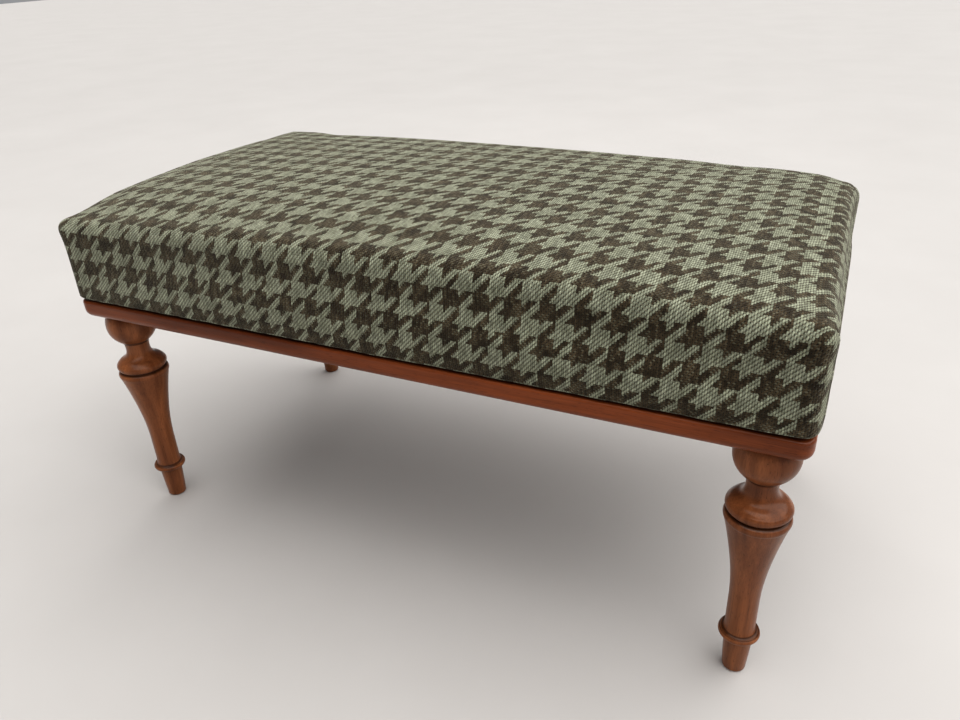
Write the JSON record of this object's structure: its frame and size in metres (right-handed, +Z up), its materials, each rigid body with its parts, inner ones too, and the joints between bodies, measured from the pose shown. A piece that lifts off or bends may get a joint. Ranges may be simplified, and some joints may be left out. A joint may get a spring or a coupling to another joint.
{
  "type": "upholstered bench",
  "caption": "Low upholstered bench or footstool: deep foam pad in houndstooth cloth on a moulded wooden frame with turned legs.",
  "frame": {"origin": "on the floor, under the middle of the bench", "axes": "+X along the length, -Y is the front, +Z up"},
  "size_m": [0.803, 0.437, 0.413],
  "materials": {
    "rail_wood": "satin mahogany stain and lacquer",
    "leg_wood": "satin mahogany stain and lacquer",
    "dowel_wood": "raw beech",
    "plywood": "raw birch plywood",
    "zinc_steel": "bright zinc plate",
    "staple_wire": "galvanised wire",
    "foam": "open cell foam",
    "wadding": "soft white polyester fibre",
    "houndstooth_cloth": "woven sage and brown houndstooth",
    "dust_cloth": "black spun-bonded lining"
  },
  "bodies": {
    "root": {"front_rail": "rail_wood", "back_rail": "rail_wood", "left_rail": "rail_wood", "right_rail": "rail_wood", "middle_rail": "rail_wood", "rail_dowels": "dowel_wood", "leg_front_left": "leg_wood", "leg_front_right": "leg_wood", "leg_back_left": "leg_wood", "leg_back_right": "leg_wood", "hanger_bolts": "zinc_steel", "tee_nuts": "zinc_steel", "seat_screws": "zinc_steel", "seat_board": "plywood", "foam_block": "foam", "wadding": "wadding", "cloth_cover": "houndstooth_cloth", "cloth_staples": "staple_wire", "dust_cover": "dust_cloth", "dust_cover_staples": "staple_wire"}
  },
  "joints": []
}
